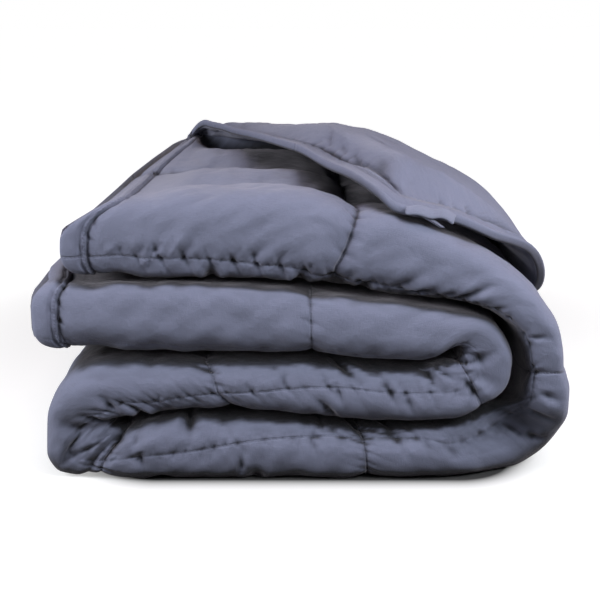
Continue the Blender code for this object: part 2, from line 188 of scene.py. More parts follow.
# ------------------------------------------------------------------ the two plies
# Behind the front fold the strip is two filled plies, one on the other. The filling thins out
# towards the hems, and the top ply sinks between its crests.
# how far the fold's upper half is opened out, 1 for wide open, at places along the strip
OPEN_OUT = [(0, 1), (0.55, 1), (0.64, 0.2), (0.90, 0.2), (0.95, 0.7), (1.03, 0.7), (1.1, 0)]
# how far back the round of the fold's face reaches, where it is closed and wide open, how
# square it is, and how far back the hollow between its two plies starts
NOSE = 0.022
NOSE_OPEN = 0.042
NOSE_SQUARE = 0.58
NOSE_PLY = 0.030
# how square the fold's face is where the strip turns in below and above it, 1 for a round one,
# and how much further back it rounds off there, in metres
ROUNDING = np.array([
    # at, below, above, deeper_below, deeper_above
    (0.00, 0.66, 0.58, 0, 0), (0.05, 0.85, 0.58, 0.004, 0), (0.36, 0.85, 0.58, 0.004, 0),
    (0.44, 0.58, 0.58, 0, 0), (0.60, 0.58, 0.58, 0, 0), (0.68, 1.00, 0.58, 0.010, 0),
    (0.90, 1.00, 0.58, 0.010, 0), (0.96, 0.70, 0.58, 0.002, 0), (1.03, 0.70, 0.60, 0.002, 0),
    (1.10, 0.90, 1.00, 0.006, 0.012), (1.33, 0.90, 1.00, 0.006, 0.012), (1.37, 0.60, 0.62, 0, 0.002),
    (1.44, 0.60, 0.62, 0, 0), (1.50, 0.58, 1.00, 0, 0.010), (1.80, 0.58, 1.00, 0, 0.010),
    (1.83, 0.58, 0.70, 0, 0),
])


# the top layer's upper face: how far back its front crest ends, how far apart its crests lie,
# how much it falls away behind, and sinks between the crests, at its end and at a stitch line
CREST = 0.045
CREST_APART = 0.192
FALLS_AWAY = 0.010
VALLEY = 0.016
END_SAG = 0.022
LINE_SAG = 0.008


def away_from_ends(s):
    """1 along the top layer's middle and 0 at its hem and where it folds down at the right."""
    return ease((s - 0.01) / 0.10) * (1 - ease((s - 0.33) / 0.12))


def top_drop(s, y):
    """How far the upper face of the top layer lies below its front crest."""
    near = np.min(np.abs(s[..., None] - STITCH_AT[1:-1]), axis=-1)
    valley = np.sin(np.pi * np.clip((y - CREST) / CREST_APART, 0, None)) ** 2
    deep = FALLS_AWAY * ease((y - CREST) / 0.15) + VALLEY * valley
    at_end = (1 - ease((s - 0.022) / 0.07)) * ease((y - 0.020) / 0.09) * (1 - ease((y - 0.30) / 0.20))
    by_line = (1 - ease(near / 0.06)) * ease(y / 0.05)
    return away_from_ends(s) * deep + END_SAG * at_end + LINE_SAG * by_line


def layer_faces(s, y, side):
    """A ply's outer and inner distance from the strip's middle, on the side 1 or -1."""
    s, y = np.broadcast_arrays(np.asarray(s, float), np.asarray(y, float))
    half = faces_at(s)[2]
    end = fullness(np.minimum(s, LONG - s))
    outer = half
    if side > 0:
        outer = half - top_drop(s, y) * (1 - ease((s - 0.40) / 0.22))
    inner = PLY_GAP / 2
    fill = fullness(DEPTH - y) * end
    under = ease((s - 0.60) / 0.05) * (1 - ease((s - 1.02) / 0.05)) * (side > 0)
    on_top = (1 - ease((s - 0.2) / 0.1)) * (side > 0)
    high = np.maximum(1 - ease((y - 0.10) / 0.25), on_top) * (1 - end)
    flat = np.maximum(under, high)
    mid = (outer + inner) / 2 * (1 - flat) + (outer - HEM_THICK / 2) * flat
    outer = outer * fill + (mid + HEM_THICK / 2) * (1 - fill)
    inner = inner * fill + (mid - HEM_THICK / 2) * (1 - fill)
    return outer, inner


def even(y, n, count):
    """The same lines with their points spread evenly by length."""
    step = np.hypot(np.diff(y, axis=1), np.diff(n, axis=1))
    gone = np.concatenate([np.zeros((len(y), 1)), np.cumsum(step, axis=1)], axis=1)
    out = np.empty((2, len(y), count))
    for i, length in enumerate(gone):
        where = np.linspace(0, length[-1], count)
        out[0, i] = np.interp(where, length, y[i])
        out[1, i] = np.interp(where, length, n[i])
    return out


def front_fold(s, below, above):
    """The face of the front fold, in so many points below and above its stitch line."""
    seam = through(AT, STRIP[:, 5], s)
    open_out = np.interp(s, *np.transpose(OPEN_OUT))
    square_in, square_out, deeper_in, deeper_out = (
        np.interp(s, ROUNDING[:, 0], ROUNDING[:, k]) for k in range(1, 5))
    reach_in = NOSE + deeper_in
    reach_out = NOSE + (NOSE_OPEN - NOSE) * open_out + deeper_out
    tall_in = layer_faces(s, reach_in, -1)[0]
    tall_out = layer_faces(s, reach_out, 1)[0]
    low = np.arcsin(np.abs(seam) ** (1 / np.where(seam < 0, square_in, square_out))) * np.sign(seam)
    parts = []
    for start, stop, count in ((-np.pi / 2, low, below + 1), (low, np.pi / 2, above)):
        turn = start + (stop - start) * np.linspace(0, 1, 160)
        inner = turn < 0
        square = np.where(inner, square_in, square_out)
        reach = np.where(inner, reach_in, reach_out)
        tall = np.where(inner, tall_in, tall_out)
        y = reach * (1 - np.cos(turn).clip(0) ** square)
        n = tall * np.sign(np.sin(turn)) * np.abs(np.sin(turn)) ** square
        parts.append(even(y, n, count))
    return np.concatenate([parts[0][:, :, :-1], parts[1]], axis=2)


# ------------------------------------------------------------------ the turned-back flap
# The upper ply of the top layer is turned back over itself on a slant, so that its long hem
# runs over the top from the back left to the right.
FLAP_GAP = 0.0030
# A row is a place along the strip, in metres: fold is how far back the ply turns, hem_at and
# hem are where its hem lies, lift and puff are how far the hem and the middle stand off the
# cloth below, and thick is its filling.
FLAP = np.array([
    # at, fold, hem_at, hem, lift, puff, thick
    (0.000, 0.566, 0.008, 0.546, 0.003, 0.000, 0.022),
    (0.045, 0.556, 0.038, 0.522, 0.015, 0.002, 0.038),
    (0.110, 0.532, 0.088, 0.464, 0.014, 0.001, 0.022),
    (0.185, 0.496, 0.143, 0.368, 0.016, 0.001, 0.023),
    (0.255, 0.455, 0.196, 0.250, 0.017, 0.006, 0.028),
    (0.315, 0.410, 0.244, 0.130, 0.007, 0.014, 0.031),
    (0.368, 0.370, 0.292, 0.011, 0.000, 0.018, 0.031),
    (0.405, 0.344, 0.334, 0.020, 0.007, 0.013, 0.028),
    (0.432, 0.336, 0.374, 0.050, 0.008, 0.006, 0.022),
    (0.452, 0.354, 0.410, 0.106, 0.017, 0.002, 0.017),
    (0.468, 0.390, 0.450, 0.195, 0.009, 0.002, 0.018),
    (0.480, 0.432, 0.482, 0.295, 0.003, 0.001, 0.016),
    (0.491, 0.480, 0.504, 0.400, 0.001, 0.000, 0.014),
    (0.502, 0.535, 0.515, 0.510, 0.001, 0.000, 0.012),
])
FLAP_END = FLAP[-1, 0]


def flap_at(s, share):
    """A place on the flap, from its fold (0) to its hem (1), and its lower and upper face."""
    fold, hem_at, hem, lift, puff, filled = (through(FLAP[:, 0], FLAP[:, k], s) for k in range(1, 7))
    at = s + (hem_at - s) * share
    y = fold + (hem - fold) * share
    to_hem = np.hypot(fold - hem, hem_at - s) * np.maximum(1 - share, 0) + 0.001
    thick = HEM_THICK + (filled - HEM_THICK) * fullness(to_hem)
    top = layer_faces(at.clip(0), y.clip(NOSE_OPEN, 0.45), 1)[0]
    level = faces_at(at)[2] - FALLS_AWAY * away_from_ends(at) * ease((y - CREST) / 0.15)
    top = top + (np.maximum(level, top) - top) * ease((at - 0.01) / 0.10)
    fore = (1 - (y / NOSE_OPEN).clip(0, 1)) ** (1 / NOSE_SQUARE)
    top = top * np.sqrt(1 - fore**2) ** NOSE_SQUARE
    rise = lift * share**2 + puff * np.sin(np.pi * share.clip(0, 1) ** 0.8)
    low = top + FLAP_GAP + rise
    return at, y, low, low + thick


# ------------------------------------------------------------------ the cloth's outline
# Seen from its end the cloth is one closed line: back to front below, round the front fold,
# back over the top, out and back along the flap, and forward and back between the plies.
def spread(*parts):
    """Places from 0 to 1 with so many between each pair of marks."""
    marks = [np.linspace(a, b, count, endpoint=False) for a, b, count in parts]
    return np.concatenate(marks + [[parts[-1][1]]])


UNDER = DEPTH - np.array([
    0.004, 0.006, 0.009, 0.012, 0.0145, 0.0165, 0.0183, 0.020, 0.0215, 0.023, 0.0247,
    0.0265, 0.029, 0.034, 0.040, 0.050, 0.064, 0.085, 0.12, 0.16, 0.20, 0.25, 0.30, 0.36,
    0.42, 0.47, 0.51, 0.54, 0.562,
])
BELOW, ABOVE = 34, 52
OVER = spread((0, 0.13, 10), (0.13, 0.25, 14), (0.25, 0.50, 12), (0.50, 0.66, 14), (0.66, 1, 14))
LAID = spread((0, 0.85, 10), (0.85, 1, 6))
BAND = np.array([0, 1, 3, 7, 11, 14.5, 16.5, 18.3, 20, 21.5, 23, 24.7, 26.5, 29, 32, 37, 44]) * MM
TOP_FAR = 34
ROUND = np.linspace(np.pi / 2, -np.pi / 2, 13)[1:-1]
EDGE = np.linspace(-np.pi / 2, np.pi / 2, 9)[1:-1]


# past the flap's end: over what length the ply swings down flat, how wide it stands up at
# first, and how far it leads along the strip
SWING_LONG = 0.034
SWING_WIDE = 0.020
SWING_LEAD = 0.012
# how far in front of the flap's fold the upper face ends, and where the plies part inside
FOLD_STOP = 0.006
PLIES_PART = 0.075


def outline(s):
    """The closed outline at each s, one row each, as along, back and out."""
    s = s[:, None]
    lines = [(s, UNDER[None, :], -layer_faces(s, UNDER[None, :], -1)[0])]
    fold_y, fold_n = front_fold(s, BELOW, ABOVE)
    lines.append((s, fold_y, fold_n))
    turned = s <= FLAP_END
    seat = np.minimum(s, FLAP_END)
    fold, hem_at, hem = (through(FLAP[:, 0], FLAP[:, k], seat) for k in (1, 2, 3))
    swing = ease((s - FLAP_END) / SWING_LONG)
    first = NOSE_OPEN + 0.003
    y = first + (fold - FOLD_STOP - first) * OVER[None, 1:]
    lines.append((s, y, layer_faces(s, y, 1)[0]))
    # the flap's lower face, its hem's edge and its upper face
    span = np.hypot(fold - hem, hem_at - seat)
    # the hem's line runs on a slant there, so its band is measured square to it
    hem_way = [np.gradient(v[:, 0]) for v in (hem_at, hem)]
    slant = np.abs((hem_at - seat)[:, 0] * hem_way[1] - (hem - fold)[:, 0] * hem_way[0])
    slant = slant / (span[:, 0] * np.hypot(*hem_way) + 1e-9)
    near = np.minimum(BAND[-1] / np.clip(slant, 0.45, 1)[:, None], 0.45 * span)
    gone = np.concatenate([
        near * BAND / BAND[-1],
        near + (span - near) * np.linspace(0, 1, TOP_FAR + 1)[None, 1:]], 1)
    down = LAID[None, :] + 0 * seat
    back = 1 - gone / span
    at_low, y_low, low, _ = flap_at(seat + 0 * down, down)
    at_high, y_high, _, high = flap_at(seat + 0 * back, back)
    way_s, way_y = (hem_at - seat) / span, (hem - fold) / span
    mid, round_edge = (low[:, -1:] + high[:, :1]) / 2, (high[:, :1] - low[:, -1:]) / 2
    out = round_edge * np.cos(EDGE)[None, :]
    edge = (at_high[:, :1] + way_s * out, y_high[:, :1] + way_y * out, mid + round_edge * np.sin(EDGE))
    ahead = s - seat
    # past the flap the rest of the ply swings down to lie flat to its hem again
    turn = np.pi * (1 - swing)
    base_out, base_in = layer_faces(s, fold, 1)
    wide = SWING_WIDE + (DEPTH - fold - SWING_WIDE) * swing**2
    lead = SWING_LEAD * (1 - swing)
    loose = {}
    for name, share in (("low", down), ("high", back)):
        flat_out, flat_in = layer_faces(s, fold + wide * share, 1)
        thick = flat_out - flat_in
        y = fold + wide * share * np.cos(turn)
        n = base_out + wide * share * np.sin(turn) + (flat_out - base_out) * np.cos(turn).clip(0)
        if name == "high":
            y, n = y + thick * np.sin(turn), n - thick * np.cos(turn)
        loose[name] = (s + lead * share, y, n)
    a, b = ([v[:, k][:, None] for v in loose[name]] for name, k in (("low", -1), ("high", 0)))
    reach = HEM_THICK / 2 * np.cos(EDGE)[None, :]
    lift = (1 - np.sin(EDGE)[None, :]) / 2
    loose_edge = [a[k] * lift + b[k] * (1 - lift) for k in range(3)]
    loose_edge[1] = loose_edge[1] + reach * np.cos(turn)
    loose_edge[2] = loose_edge[2] + reach * np.sin(turn)
    lines.append([np.where(turned, u, v) for u, v in zip((at_low + ahead, y_low, low), loose["low"])])
    lines.append([np.where(turned, u + (ahead if k == 0 else 0), v)
                  for k, (u, v) in enumerate(zip(edge, loose_edge))])
    lines.append([np.where(turned, u, v) for u, v in zip((at_high + ahead, y_high, high), loose["high"])])
    # round the flap's fold, and between the plies to the front fold and back to the other hem
    top_n, ply_in = high[:, -1:], layer_faces(s, fold, 1)[1]
    round_n = (top_n - ply_in) / 2
    bend_y = fold + 0.004 + round_n * 0.8 * np.cos(ROUND)
    bend_n = (top_n + ply_in) / 2 + round_n * np.sin(ROUND)
    thick = base_out - base_in
    tilt = turn * (1 - np.arange(1, len(ROUND) + 1) / (len(ROUND) + 1))
    loose_y = fold - 0.010 * np.linspace(0.1, 1, len(ROUND)) + thick * np.sin(tilt)
    loose_n = base_out - thick * np.cos(tilt)
    lines.append((s, np.where(turned, bend_y, loose_y), np.where(turned, bend_n, loose_n)))
    y = fold + (0.09 - fold) * np.linspace(0.1, 0.85, 6)[None, :]
    lines.append((s, y, layer_faces(s, y, 1)[1]))
    end = fullness(np.minimum(s, LONG - s))
    ply = NOSE_PLY * (1 - 0.7 * (1 - end))
    for side, angles in ((1, (90, 65, 40, 15)), (-1, (-15, -40, -65, -90))):
        angles = np.radians(angles)[None, :]
        mouth = layer_faces(s, PLIES_PART, side)[1]
        reach = NOSE + (NOSE_OPEN - NOSE) * np.interp(s, *np.transpose(OPEN_OUT)) * (side > 0)
        y = ply + reach * (1 - np.cos(angles).clip(0) ** NOSE_SQUARE)
        lines.append((s, y, side * mouth * np.abs(np.sin(angles)) ** NOSE_SQUARE))
    y = UNDER[None, ::-2]
    lines.append((s, y, -layer_faces(s, y, -1)[1]))
    low_out, low_in = layer_faces(s, UNDER[0], -1)
    y = UNDER[0] + HEM_THICK / 2 * np.cos(EDGE)[None, :]
    lines.append((s, y, -(low_out + low_in) / 2 - HEM_THICK / 2 * np.sin(EDGE)[None, :]))
    whole = [np.concatenate([np.broadcast_to(line[k], np.broadcast_shapes(
        *(np.shape(v) for v in line))) for line in lines], axis=1) for k in range(3)]
    counts = [np.broadcast_shapes(*(np.shape(v) for v in line))[1] for line in lines]
    return whole, counts


SEAM_STEPS = np.array([-9, -6.5, -4.5, -2.9, -1.6, -0.7, 0, 0.7, 1.6, 2.9, 4.5, 6.5, 9]) * MM
HEM_STEPS = [0, 0.0004, 0.0012, 0.0024, 0.004, *BAND[3:15]]
stops = HEM_STEPS + [LONG - stop for stop in HEM_STEPS]
for at in STITCH_AT[1:-1]:
    stops += list(at + SEAM_STEPS)
stations = [0.0]
for stop in sorted(stops)[1:]:
    gap = stop - stations[-1]
    count = max(1, int(np.ceil(gap / 0.0021)))
    if gap > 0.0003:
        stations += list(stations[-1] + gap * np.arange(1, count + 1) / count)
stations = np.array(stations)
(along, back, out), counts = outline(stations)
ends = np.cumsum([0] + counts)
rows, columns = along.shape

# ------------------------------------------------------------------ the cloth's own measure
# Every place on the cloth has a distance along the strip, a distance across from the middle
# stitch line and a distance from the nearest hem's edge, as it would have when laid flat.
SEAM_COLUMN = ends[1] + BELOW
TIP_COLUMN = ends[4] + len(EDGE) // 2
step = np.sqrt(sum(np.diff(v, axis=1) ** 2 for v in (along, back, out)))
gone = np.concatenate([np.zeros((rows, 1)), np.cumsum(step, axis=1)], axis=1)
across = gone - gone[:, SEAM_COLUMN:SEAM_COLUMN + 1]
tip = across[:, TIP_COLUMN:TIP_COLUMN + 1]
across = np.where(np.arange(columns) > TIP_COLUMN, 2 * tip - across, across)
length = stations[:, None] + 0 * across
front = slice(ends[1], ends[2])
over = slice(ends[2], ends[3])
upper = slice(ends[5], ends[6])
hem_line = np.stack([along[:, ends[5]], back[:, ends[5]]], -1)
spots = np.stack([along[:, upper], back[:, upper]], -1).reshape(-1, 2)
to_hem = np.concatenate([
    np.min(np.hypot(*(part[:, None] - hem_line[None]).transpose(2, 0, 1)), axis=1)
    for part in np.array_split(spots, 60)]).reshape(rows, -1)
on_flap = ease((FLAP_END - stations) / 0.02)[:, None]
long_hem = np.abs(tip - np.abs(across))
long_hem[:, upper] = np.where(on_flap > 0, to_hem, long_hem[:, upper])
short_hem = np.minimum(length, LONG - length)

# ------------------------------------------------------------------ the quilting
# Lines of stitches cross the blanket both ways and hold its filling in squares. Each line
# draws the cloth in and gathers it, and the lines across lean a little.
SQUARE = 0.190
# how hard the middle line draws and how strong its gathers are, in mm, and how plainly its
# thread shows, at places along the strip
MIDDLE_LINE = np.array([
    # at, deep, gathers, seen
    (0.00, 2.6, 1.7, 0.9), (0.18, 3.4, 1.7, 0.6), (0.40, 3.8, 2.0, 0.1), (0.52, 3.2, 1.5, 0.0),
    (0.62, 2.6, 1.5, 0.1), (0.80, 2.2, 1.5, 0.7), (0.92, 2.2, 1.3, 0.3), (0.95, 2.0, 1.4, 0.0),
    (1.02, 2.0, 1.5, 0.0), (1.07, 2.2, 1.7, 0.6), (1.15, 2.2, 1.5, 0.6), (1.30, 2.2, 1.7, 0.4),
    (1.36, 2.2, 1.7, 0.0), (1.42, 1.8, 1.4, 0.0), (1.48, 1.2, 0.4, 0.2), (1.80, 1.2, 0.4, 0.3),
])
# how far each cross line leans along the strip, a row a line, at these places across, in mm
LEAN_AT = (-40, -20, 0, 20, 40, 60, 90)
LEAN = np.array([
    (0, 0, 0, 0, 0, 0, 0),
    (-13, -13, -13, -12, -5, 0, 5),
    (8, 7, 6, 3, 2, 0, 0),
    (11, 4, 0, -2, -3, 0, 0),
    (5, 5, 5, 0, 0, 0, 0),
    (12, 11, 0, -3, -9, -10, -10),
    (-5, -5, -2, 0, 0, 0, 0),
    (-5, -5, -5, -5, -5, 0, 0),
    (0, 0, 0, 0, 0, 0, 0),
])
leans = np.stack([through(STITCH_AT, LEAN[:, k], stations) for k in range(len(LEAN_AT))], -1)
for i in range(rows):
    near_front = 1 - ease((np.abs(across[i]) - 0.09) / 0.07)
    along[i] += np.interp(across[i] / MM, LEAN_AT, leans[i]) * MM * near_front


def outwards(skin):
    """The way out of the cloth at every place of its skin."""
    round_it = np.roll(skin, -1, axis=1) - np.roll(skin, 1, axis=1)
    way = np.cross(np.gradient(skin, axis=0), round_it)
    return way / (np.linalg.norm(way, axis=-1, keepdims=True) + 1e-12)


points = place(along, back, out)
normals = outwards(points)
outward = np.zeros((rows, columns))
outward[:, :ends[3]] = 1
outward[:, upper] = on_flap
deep = np.zeros((rows, columns))


def drawn_in(distance, keen, soft, soft_wide=0.013):
    """How deep a line of stitches draws the cloth in at this distance from it."""
    return keen * np.exp(-np.abs(distance) / 0.0024) + soft * np.exp(-((distance / soft_wide) ** 2))


def gathers(run, apart, seed):
    """Small uneven folds met on the way along a line, about so far apart, from 0 to 1."""
    chance = np.random.default_rng(seed)
    waves = [np.sin(2 * np.pi * run / (apart * chance.uniform(0.6, 1.6)) + chance.uniform(0, 6.3))
             for _ in range(5)]
    return (sum(waves) / 2.6).clip(0, 1.3) ** 1.4


line_deep, line_gathers = (
    np.interp(stations, MIDDLE_LINE[:, 0], MIDDLE_LINE[:, k])[:, None] * MM for k in (1, 2))
full = fullness(short_hem) * 0.7 + 0.3
pucker = gathers(length + 0.5 * across, 0.017, 3)
middle = drawn_in(across, (0.2 + 0.4 * pucker) * line_deep, 0.9 * line_deep)
middle += line_gathers * 0.9 * pucker * np.exp(-np.abs(across) / 0.013)
middle += line_gathers * 0.55 * gathers(length - 0.4 * across, 0.008, 5) * np.exp(-np.abs(across) / 0.006)
deep[:, front] += (middle * full)[:, front]
# the other lines, wherever the cloth lies open, and how hard each one across draws
DRAWN = (1.6, 0.6, 1.2, 1.2, 1.0, 0.9, 1.0)
shown = np.zeros((rows, columns))
shown[:, front] = 1
open_top = ease((0.80 - stations) / 0.04)
open_fold = ease((stations - 1.02) / 0.04) * ease((1.24 - stations) / 0.04)
shown[:, over] = np.maximum(open_top, open_fold)[:, None]
shown[:, upper] = on_flap
for k, at in enumerate(STITCH_AT[1:-1]):
    off = length - at + 0 * across
    line = drawn_in(off, 1.8 * MM, 2.6 * MM, 0.012) * DRAWN[k]
    line += 1.2 * MM * DRAWN[k] * gathers(across + 0.4 * off, 0.015, 20 + k) * np.exp(-np.abs(off) / 0.010)
    deep[:, :ends[3]] += (shown * line)[:, :ends[3]]
for k in (1, 2):
    off = across - k * SQUARE
    line = drawn_in(off, 1.6 * MM, 3.0 * MM)
    line += 1.2 * MM * gathers(length + 0.4 * off, 0.018, 30 + k) * np.exp(-np.abs(off) / 0.012)
    deep[:, over] += (shown * line)[:, over]

# ------------------------------------------------------------------ the creases
# The filled cloth buckles where it is folded tight and where the stitches hold it back, in
# troughs with a low lip on either side.
# A row is one crease, from its deep end to the end where it dies out: places along and across
# in mm, its half width and its depth in mm, below 0 for a ridge, and 1 where it is sharp.
CREASES = np.array([
    # at, across, to_at, to_across, wide, deep, sharp
    (52, 3, 62, 14, 3.0, 1.0, 0),
    (71, 3, 80, 18, 3.0, 1.4, 0),
    (83, 4, 98, 19, 3.4, 1.8, 0),
    (112, 3, 130, 26, 3.6, 1.3, 0),
    (101, 2, 119, 28, 2.6, -1.2, 0),
    (85, 1, 99, 13, 2.6, -0.9, 0),
    (43, 3, 52, 15, 2.6, -0.8, 0),
    (177, 3, 198, 28, 4.2, 2.2, 0),
    (205, 6, 213, 22, 3.2, 1.1, 0),
    (196, -2, 195, 6, 1.6, 1.0, 0),
    (203, -2, 202, 8, 1.6, 0.9, 0),
    (217, 1, 217, 7, 1.8, 0.9, 0),
    (81, 1, 71, -15, 1.6, -1.1, 0),
    (142, -30, 141, 6, 5.0, 5.0, 1),
    (227, -26, 233, 12, 4.2, 4.5, 1),
    (237, 7, 235, 15, 1.6, 1.6, 0),
    (270, 5, 268, 22, 3.0, 1.5, 0),
    (276, -24, 293, 12, 3.4, 3.6, 1),
    (312, 5, 333, 34, 4.0, 2.4, 0),
    (323, -5, 351, 19, 3.2, 3.6, 0),
    (352, 6, 366, 16, 3.0, 1.6, 0),
    (366, 2, 394, 39, 3.4, 3.2, 0),
    (400, -5, 412, 19, 2.2, 4.0, 1),
    (208, 51, 295, 61, 3.0, -0.5, 0),
    (1378, 34, 1436, -34, 2.6, 3.4, 1),
    (1402, 12, 1420, -25, 4.6, 1.6, 0),
    (1392, 4, 1406, -40, 4.4, 1.5, 0),
    (1376, 8, 1390, -44, 2.6, 2.6, 1),
    (1352, 24, 1376, 4, 2.8, 2.2, 1),
    (1336, 26, 1352, -5, 3.8, 6.0, 1),
    (1306, 2, 1294, 28, 3.4, 1.2, 0),
    (1302, 8, 1320, -28, 3.4, 1.8, 0),
    (1318, -4, 1333, -28, 3.6, 2.4, 0),
    (1250, -38, 1230, -2, 3.4, 4.2, 1),
    (1256, 3, 1261, -27, 2.6, 2.2, 0),
    (1254, 34, 1286, -4, 3.8, 2.6, 0),
    (1208, 18, 1208, -8, 3.2, 1.3, 0),
    (1160, 0, 1158, 11, 1.8, 0.9, 0),
    (1178, -2, 1182, 8, 1.8, 0.9, 0),
    (1087, 2, 1092, 11, 1.8, 1.2, 0),
    (1050, -34, 1057, 10, 4.6, 5.0, 1),
    (1035, -1, 1041, 19, 3.4, 2.8, 0),
    (984, -6, 1010, 38, 3.4, 2.2, 0),
    (990, -22, 1014, 22, 2.6, 2.6, 1),
    (958, -34, 982, 44, 2.0, 3.4, 1),
    (952, -34, 952, 70, 2.2, 5.0, 1),
    (950, -44, 940, 0, 4.0, 5.0, 1),
    (925, -27, 917, -4, 3.0, 1.6, 0),
    (914, -3, 908, 19, 2.4, 2.6, 0),
    (873, -50, 868, -2, 4.6, 5.0, 0),
    (896, 42, 896, 18, 6.0, 2.2, 0),
    (837, -5, 838, 7, 2.0, 1.1, 0),
    (828, 29, 824, 5, 2.6, 2.2, 0),
    (752, -45, 750, -5, 2.4, 2.0, 0),
    (747, -30, 748, 4, 2.2, 1.6, 0),
    (760, 1, 754, 27, 3.0, 1.5, 0),
    (814, 44, 813, 20, 5.5, 2.8, 0),
    (727, -45, 708, 6, 3.0, 3.6, 1),
    (698, -42, 672, 14, 3.0, 3.6, 1),
    (654, -2, 645, 20, 4.0, 1.4, 0),
    (631, 3, 624, 20, 4.0, 1.3, 0),
    (676, 6, 663, 24, 3.0, -1.0, 0),
    (564, 4, 562, 44, 2.0, 5.5, 1),
    (558, 26, 552, 46, 2.6, 2.4, 0),
    (448, 7, 452, 30, 2.0, 4.0, 1),
    (508, 12, 514, 36, 3.4, 2.6, 0),
    (531, 6, 533, 42, 2.1, 4.6, 1),
    (486, -2, 483, 22, 2.0, 2.2, 0),
])
# how much deeper all of them are pressed in, the most depth for a width, and their lips
DEEPER = 1.5
STEEPEST = 1.6
LIPS = 0.22


def crease(run, side_way, row):
    """How deep one crease presses the cloth in, at places along and across."""
    at, start, to_at, stop, wide, depth, sharp = row
    depth = min(DEEPER * depth, STEEPEST * wide)
    way = np.array([to_at - at, stop - start]) * MM
    du, dw = run - at * MM, side_way - start * MM
    share = ((du * way[0] + dw * way[1]) / (way @ way)).clip(0, 1)
    off = np.hypot(du - share * way[0], dw - share * way[1]) / (wide * MM * (0.85 + 0.5 * share))
    shape = np.exp(-(off ** 1.2)) if sharp else np.exp(-(off ** 1.8))
    lips = LIPS * np.exp(-(((off - 2.3) / 0.9) ** 2))
    strength = (0.4 + 0.6 * ease(share / 0.25)) * (1 - ease((share - 0.2) / 0.8))
    return depth * MM * strength * (shape - lips)


for row in CREASES:
    reach = 6 * row[4] * MM
    low_at, high_at = sorted((row[0] * MM, row[2] * MM))
    some = (stations > low_at - reach) & (stations < high_at + reach)
    here = np.ix_(some, np.arange(ends[1], ends[3]))
    deep[here] += crease(length[here], across[here], row)

# the flap's creases are given as seen from above, x and y in mm, in the same way
FLAP_CREASES = np.array([
    # x, y, to_x, to_y, wide, deep
    (71, -178, 20, 30, 6, -1.3),
    (71, -178, 95, -230, 6, -1.3),
    (95, -230, 119, -256, 5, -1.1),
    (71, -119, 29, -22, 4, 1.3),
    (71, -119, 120, -214, 4, 1.3),
    (101, -217, 61, -93, 5, -0.8),
    (101, -217, 155, -210, 5, -0.8),
    (12, -72, 10, -21, 2.4, 1.6),
    (26, -121, 16, -62, 2.4, 1.4),
    (36, -170, 31, -121, 2.4, 1.8),
    (57, -226, 52, -165, 8, 1.6),
    (84, -252, 77, -226, 4, 1.0),
    (110, -261, 106, -240, 2.6, 1.6),
    (123, -253, 120, -238, 2.2, 1.4),
    (139, -242, 133, -219, 2.6, 1.7),
    (152, -230, 145, -224, 2.2, 1.0),
    (-151, 164, -185, 172, 4, 3.0),
    (-151, 64, -175, -8, 4.5, 3.0),
    (-151, -109, -169, -132, 4, 2.0),
])
seen = np.ix_(np.ones(rows, bool), np.arange(upper.start, upper.stop))
for x, y, to_x, to_y, wide, depth in FLAP_CREASES:
    shape = crease(points[..., 0][seen], points[..., 1][seen], (x, y, to_x, to_y, wide, depth, 0))
    deep[seen] += shape * on_flap

# the filling lies unevenly, in low swells all over and finer ones beside the stitches
chance = np.random.default_rng(11)
swells = np.zeros((rows, columns))
for apart, tall in ((0.085, 0.55), (0.045, 0.40), (0.024, 0.22)):
    for _ in range(7):
        turn, phase = chance.uniform(0, np.pi), chance.uniform(0, 6.3)
        wave = 2 * np.pi / (apart * chance.uniform(0.75, 1.35))
        swells += tall * MM / 2 * np.sin(wave * (np.cos(turn) * length + np.sin(turn) * across) + phase)
deep += swells * outward * fullness(np.minimum(short_hem, long_hem))

# ------------------------------------------------------------------ the hems
# All four edges are turned in over the filling and sewn down, which leaves a flat band, a
# raised line where the turned edge ends, and a groove on both sides of it.
SEAM_IN = 0.0215
FLAP_SEAM_IN = 0.0165
# across the seam in mm: where from it, how deep (below 0 for raised) and how wide
SEAM_SHAPE = ((3.2, 2.8, 1.8), (-3.0, 1.7, 1.5), (0, -1.3, 1.3), (6.0, 1.6, 8.0))
BAND_FULL = 0.9
SEAM_GATHERS = 1.6
hem = np.minimum(short_hem, long_hem)
hem = np.where(np.arange(columns) < ends[2], short_hem, hem)
hem[:, :ends[1]] = np.minimum(short_hem, long_hem)[:, :ends[1]]
from_seam = hem - np.where((np.arange(columns) >= ends[3]) & (on_flap > 0) & (long_hem < short_hem),
                           FLAP_SEAM_IN, SEAM_IN)
groove = sum(tall * np.exp(-(((from_seam / MM - at) / wide) ** 2)) for at, tall, wide in SEAM_SHAPE)
groove *= hem > 0
band = np.sin(np.pi * (hem / SEAM_IN).clip(0, 1))
# where the raised line lies, for a painted highlight along it
piping = np.exp(-((from_seam / MM / SEAM_SHAPE[2][2]) ** 2)) * outward
gathered = gathers(length + across, 0.011, 41) * np.exp(-np.abs(from_seam - 0.004) / 0.006)
deep += (groove - BAND_FULL * band + SEAM_GATHERS * gathered) * MM
# the four edges are round
ROUND_OFF = 0.0036
edge = (1 - short_hem / ROUND_OFF).clip(0, 1)
deep += ROUND_OFF * (1 - np.sqrt(1 - edge**2))
points = points - normals * deep[..., None]
points[..., 2] = points[..., 2].clip(0)
